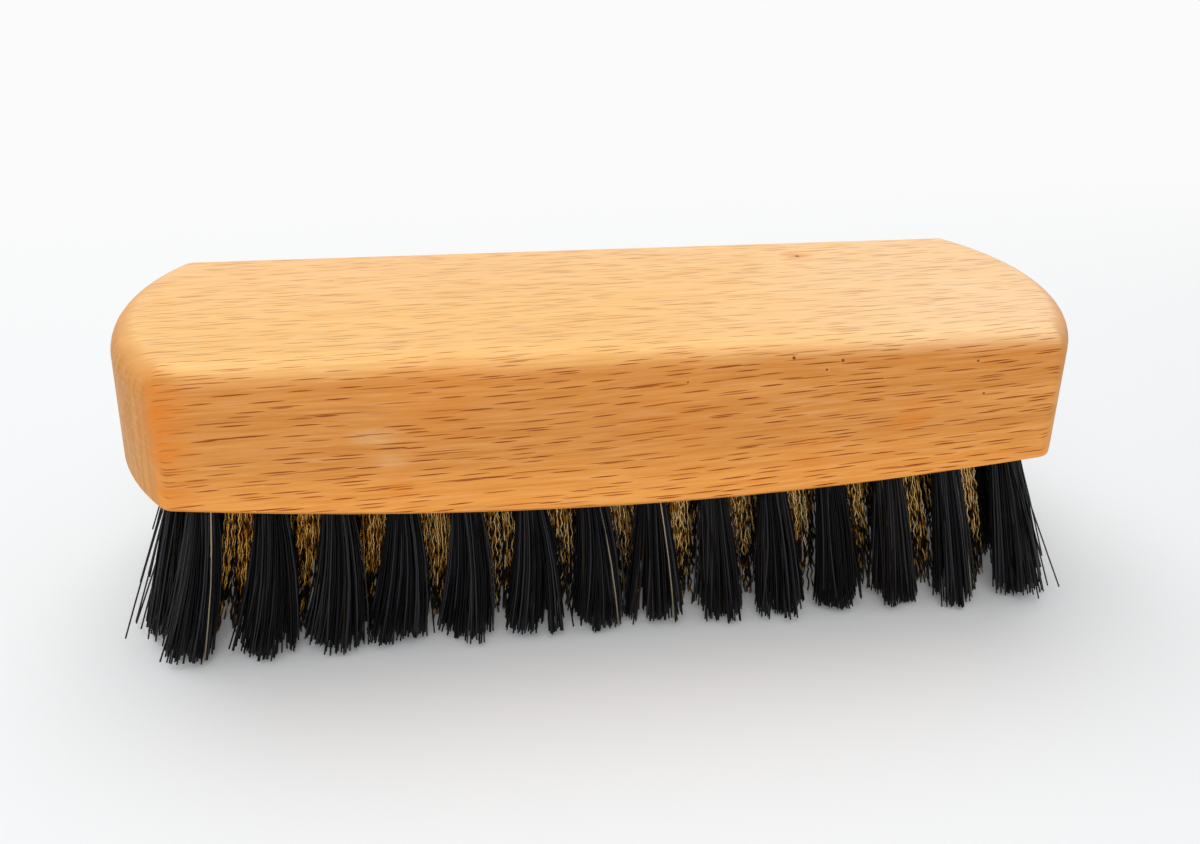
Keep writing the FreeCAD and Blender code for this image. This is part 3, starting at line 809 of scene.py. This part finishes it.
def make_strands(name, paths, thickness, sides, rng, finishes, pale=None):
    """One mesh of many thin tubes, closed at the tip; the pale ones take the second finish."""
    count, steps, _ = paths.shape
    corners = tube_corners(paths, thickness, sides)
    walls, tips = tube_faces(count, steps, sides)
    loops = np.concatenate([walls.ravel(), tips.ravel()])
    starts = np.concatenate([np.arange(len(walls)) * 4, len(walls) * 4 + np.arange(count) * sides])

    mesh = bpy.data.meshes.new(name)
    mesh.vertices.add(corners.size // 3)
    mesh.vertices.foreach_set("co", corners.astype(np.float32).ravel())
    mesh.loops.add(len(loops))
    mesh.loops.foreach_set("vertex_index", loops.astype(np.int32))
    mesh.polygons.add(len(starts))
    mesh.polygons.foreach_set("loop_start", starts.astype(np.int32))

    places = tube_map(rng.integers(0, STRAND_COLUMNS, count), steps, sides)
    for map_name in (STRAND_MAP, BAKE_MAP):
        mesh.uv_layers.new(name=map_name).data.foreach_set("uv", places)
    for finish in finishes:
        mesh.materials.append(finish)
    if pale is not None:
        kinds = np.concatenate([np.repeat(pale, (steps - 1) * sides), pale])
        mesh.polygons.foreach_set("material_index", kinds.astype(np.int32))
    smooth = np.ones(len(starts), bool)
    smooth[len(walls):] = False
    mesh.polygons.foreach_set("use_smooth", smooth)
    mesh.update(calc_edges=True)
    if mesh.validate():
        raise RuntimeError(f"{name} has faces that do not join up")
    piece = bpy.data.objects.new(name, mesh)
    bpy.context.scene.collection.objects.link(piece)
    return piece


def pick_pale(sites, paths, rng):
    """Which of a node's bristles are pale: a few by chance, and the ones placed one by one in the front row.
    """
    pale = rng.random(len(paths)) < PALE_SHARE
    first = sites[0]
    if first.row == 0 and first.index in FRONT_PALE:
        off = (paths[:, -1] - paths[:, -1].mean(axis=0)) / MM
        miss = np.abs(off[:, 0] - FRONT_PALE[first.index]) + FRONTMOST_SHARE * off[:, 1]
        pale[np.argmin(miss)] = True
    return pale


def settle(piece, node):
    """Set a piece in the place of its node."""
    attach(piece, BODY)
    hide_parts(node)


def piece_name(node, strands):
    return node.replace("tufts", strands).replace("tuft", strands)


def dress(node, finish):
    node.data.materials.clear()
    node.data.materials.append(finish)


class FinishBlock(bpy.types.Operator):
    """Gives the block its oiled beech."""

    bl_idname = "suede_brush.finish_block"
    bl_label = "Finish block"

    def execute(self, context):
        dress(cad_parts["block"], beech_finish(context.scene.brush_beech))
        return {"FINISHED"}


class FinishAnchors(bpy.types.Operator):
    """Gives the anchor wires inside the block their steel."""

    bl_idname = "suede_brush.finish_anchors"
    bl_label = "Finish anchor wires"

    def execute(self, context):
        dress(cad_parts["anchor_wires"], anchor_finish())
        return {"FINISHED"}


class MakeBristles(bpy.types.Operator):
    """Makes the border of black bristle tufts, strand by strand."""

    bl_idname = "suede_brush.make_bristles"
    bl_label = "Make bristle tufts"

    def execute(self, context):
        look = context.scene.brush_bristle
        finishes = [bristle_finish(look), pale_bristle_finish(look)]
        for node, sites in by_node(site for site in all_sites() if site.is_bristle).items():
            rng = tuft_random(BRISTLE_SEED, sites[0])
            paths = np.concatenate([self.tuft_paths(site, rng, look) for site in sites])
            pale = pick_pale(sites, paths, rng)
            piece = make_strands(
                piece_name(node, "strands"), paths, look.thickness, BRISTLE_SIDES, rng, finishes, pale)
            settle(piece, node)
        return {"FINISHED"}

    def tuft_paths(self, site, rng, look):
        lean = rng.normal(0, BRISTLE_LEAN_SCATTER, 2)
        width = look.tip_width * rng.uniform(*TIP_WIDTH_RANGE)
        bow = 0.0
        if site.row == 0:
            lean = (FRONT_LEANS[site.index], FRONT_DEPTH_LEAN)
            width = FRONT_TIPS[site.index] * MM
            bow = site.bow()
        size = (width, look.tip_depth)
        return strand_paths(
            site, rng, look.count, size, look.raggedness, lean, BRISTLE_STEPS, site.splay(), bow)


class MakeBrass(bpy.types.Operator):
    """Makes the crimped brass tufts, wire by wire."""

    bl_idname = "suede_brush.make_brass"
    bl_label = "Make brass tufts"

    def execute(self, context):
        look = context.scene.brush_brass
        finish = brass_finish(look)
        for node, sites in by_node(site for site in all_sites() if not site.is_bristle).items():
            rng = tuft_random(BRASS_SEED, sites[0])
            count = look.inner_count if len(sites) > 1 else look.count
            paths = np.concatenate([self.tuft_paths(site, rng, look, count) for site in sites])
            piece = make_strands(
                piece_name(node, "wires"), paths, look.thickness, WIRE_SIDES, rng, [finish])
            settle(piece, node)
        return {"FINISHED"}

    def tuft_paths(self, site, rng, look, count):
        steps = round(2 * (BRISTLE_REACH + FOLD_DEPTH) * MM / look.crimp_pitch) + 1
        in_front = site.row == 1
        lean = (BRASS_LEAN, 0.0) if in_front else rng.normal(0, BRASS_LEAN_SCATTER, 2)
        bow = site.bow() if in_front else 0.0
        size = (look.tip_width, look.tip_depth)
        straight = strand_paths(site, rng, count, size, WIRE_RAGGEDNESS * MM, lean, steps, bow=bow)
        return crimp(straight, site, rng, look.crimp_height)


def seen(f):
    """1 for what the camera sees, straight or mirrored or through something, and 0 for what gives light."""
    path = f.node("ShaderNodeLightPath")
    mirrored = path.out("Is Glossy Ray").highest(path.out("Is Transmission Ray"))
    return path.out("Is Camera Ray").highest(mirrored)


class MakeStage(bpy.types.Operator):
    """Makes the pale floor, the soft light and the camera."""

    bl_idname = "suede_brush.make_stage"
    bl_label = "Make stage"

    def execute(self, context):
        look = context.scene.brush_stage
        context.scene.view_settings.view_transform = "Standard"
        self.make_floor(look)
        self.make_sky(context.scene, look)
        for lamp, power in zip(LAMPS, (look.key_power, look.fill_power, look.front_power)):
            self.make_lamp(*lamp, power)
        self.make_camera(context.scene, look)
        return {"FINISHED"}

    def make_floor(self, look):
        half = FLOOR_HALF
        mesh = bpy.data.meshes.new("floor")
        mesh.from_pydata(
            [(-half, -half, 0), (half, -half, 0), (half, half, 0), (-half, half, 0)], [], [(0, 1, 2, 3)])
        floor = bpy.data.objects.new("floor", mesh)
        bpy.context.scene.collection.objects.link(floor)
        f = Finish(bpy.data.materials.new("pale_floor"))
        place = f.node("ShaderNodeTexCoord").out("Object")
        _, depth, _ = f.split(place)
        away = f.vector("DISTANCE", place, (0.0, 0.0, 0.0)).out("Value")
        lit = f.node(
            "ShaderNodeBsdfPrincipled",
            inputs={"Base Color": colour(look.floor_near), "Roughness": FLOOR_ROUGHNESS})
        glow = f.node("ShaderNodeEmission", inputs={"Strength": look.floor_far})
        fade = depth.step(*FLOOR_BEHIND).highest(away.step(*FLOOR_AWAY)) * seen(f)
        shader = f.node("ShaderNodeMixShader", inputs={0: fade, 1: lit, 2: glow})
        f.node("ShaderNodeOutputMaterial", inputs={"Surface": shader})
        mesh.materials.append(f.owner)

    def make_sky(self, scene, look):
        scene.world = bpy.data.worlds.new("studio")
        f = Finish(scene.world)
        strength = look.sky + seen(f) * (look.backdrop - look.sky)
        sky = f.node("ShaderNodeBackground", inputs={"Color": (1.0, 1.0, 1.0, 1.0), "Strength": strength})
        f.node("ShaderNodeOutputWorld", inputs={"Surface": sky})

    def make_lamp(self, name, place, size, power):
        light = bpy.data.lights.new(name, "AREA")
        light.shape = "DISK"
        light.size = size
        light.energy = power
        lamp = bpy.data.objects.new(name, light)
        lamp.location = place
        aim = Vector(LAMP_AIM) - Vector(place)
        lamp.rotation_euler = aim.to_track_quat("-Z", "Y").to_euler()
        bpy.context.scene.collection.objects.link(lamp)

    def make_camera(self, scene, look):
        lens = bpy.data.cameras.new("camera")
        lens.sensor_fit = "HORIZONTAL"
        lens.sensor_width = SENSOR_WIDTH
        lens.lens = look.lens
        lens.clip_start = NEAREST_SEEN
        camera = bpy.data.objects.new("camera", lens)
        scene.collection.objects.link(camera)
        level = Matrix.Rotation(-look.yaw, 4, "Z") @ Matrix.Rotation(math.pi / 2 - look.pitch, 4, "X")
        camera.matrix_world = Matrix.Translation(look.eye) @ level @ Matrix.Rotation(look.roll, 4, "Z")
        scene.camera = camera


class BrushPanel(bpy.types.Panel):
    """Sizes and colours of the brush, and the steps that make it."""

    bl_idname = "VIEW3D_PT_suede_brush"
    bl_label = "Suede brush"
    bl_space_type = "VIEW_3D"
    bl_region_type = "UI"
    bl_category = "Suede brush"

    def draw(self, context):
        for heading, looks, steps in (
            ("Block", context.scene.brush_beech, (FinishBlock, FinishAnchors)),
            ("Bristle", context.scene.brush_bristle, (MakeBristles,)),
            ("Brass", context.scene.brush_brass, (MakeBrass,)),
            ("Stage", context.scene.brush_stage, (MakeStage,)),
        ):
            box = self.layout.box()
            box.label(text=heading)
            for name in looks.__annotations__:
                box.prop(looks, name)
            for step in steps:
                box.operator(step.bl_idname)


LOOKS = {
    "brush_beech": BeechLook,
    "brush_bristle": BristleLook,
    "brush_brass": BrassLook,
    "brush_stage": StageLook,
}
STEPS = (MakeStage, FinishBlock, FinishAnchors, MakeBristles, MakeBrass)


def register():
    for kind in (*LOOKS.values(), *STEPS, BrushPanel):
        bpy.utils.register_class(kind)
    for name, kind in LOOKS.items():
        setattr(bpy.types.Scene, name, PointerProperty(type=kind))


def unregister():
    for name in LOOKS:
        delattr(bpy.types.Scene, name)
    for kind in reversed((*LOOKS.values(), *STEPS, BrushPanel)):
        bpy.utils.unregister_class(kind)


def main():
    register()
    bpy.ops.suede_brush.make_stage()
    bpy.ops.suede_brush.finish_block()
    bpy.ops.suede_brush.finish_anchors()
    bpy.ops.suede_brush.make_bristles()
    bpy.ops.suede_brush.make_brass()


if __name__ == "__main__":
    main()
